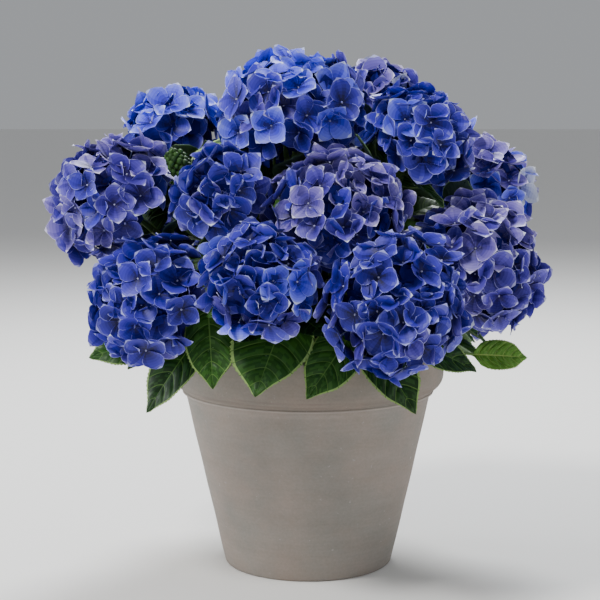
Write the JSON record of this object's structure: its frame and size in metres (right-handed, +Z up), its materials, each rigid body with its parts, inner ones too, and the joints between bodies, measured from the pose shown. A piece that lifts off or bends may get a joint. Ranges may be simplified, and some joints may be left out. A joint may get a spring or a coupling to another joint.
{
  "type": "hydrangea shrub in a pot",
  "caption": "Rounded mophead hydrangea in full blue bloom with broad toothed leaves, in a plain tapered clay pot with a band rim",
  "frame": {"origin": "centre of the pot's flat underside, where it stands", "axes": "+Z up along the pot's axis, -Y toward the side that the picture shows, +X to the right as seen there"},
  "size_m": [0.5031, 0.4861, 0.5332],
  "materials": {
    "pot": "matte",
    "potting_mix": "matte",
    "stem": "matte",
    "leaf": "satin",
    "bloom_blue": "matte",
    "bloom_violet": "matte",
    "bloom_pale": "matte"
  },
  "bodies": {
    "root": {"cane_back_lower": "stem", "cane_back_lower_left": "stem", "cane_centre": "stem", "cane_left": "stem", "cane_lower_right": "stem", "cane_top": "stem", "cane_upper_right": "stem", "head_back": "bloom_blue", "head_back_left": "bloom_blue", "head_back_lower": "bloom_violet", "head_back_lower_left": "bloom_blue", "head_back_mid_left": "bloom_violet", "head_back_mid_right": "bloom_blue", "head_back_right": "bloom_blue", "head_back_top": "bloom_blue", "head_centre": "bloom_violet", "head_centre_left": "bloom_blue", "head_far_right": "bloom_blue", "head_left": "bloom_violet", "head_lower_centre": "bloom_blue", "head_lower_left": "bloom_blue", "head_lower_right": "bloom_blue", "head_right": "bloom_violet", "head_top": "bloom_blue", "head_top_left": "bloom_blue", "head_top_right": "bloom_pale", "head_upper_right": "bloom_blue", "leaves_front": "leaf", "leaves_front_left": "leaf", "leaves_front_right": "leaf", "leaves_inner_1": "leaf", "leaves_inner_2": "leaf", "leaves_inner_3": "leaf", "leaves_inner_4": "leaf", "leaves_inner_5": "leaf", "leaves_inner_6": "leaf", "leaves_inner_7": "leaf", "leaves_left": "leaf", "leaves_right": "leaf", "leaves_skirt_1": "leaf", "leaves_skirt_2": "leaf", "leaves_skirt_3": "leaf", "leaves_skirt_4": "leaf", "leaves_skirt_5": "leaf", "leaves_skirt_6": "leaf", "pot": "pot", "shoot_back": "stem", "shoot_back_left": "stem", "shoot_back_mid_left": "stem", "shoot_back_mid_right": "stem", "shoot_back_right": "stem", "shoot_back_top": "stem", "shoot_centre_left": "stem", "shoot_far_right": "stem", "shoot_lower_centre": "stem", "shoot_lower_left": "stem", "shoot_right": "stem", "shoot_top_left": "stem", "shoot_top_right": "stem", "soil": "potting_mix"}
  },
  "joints": []
}
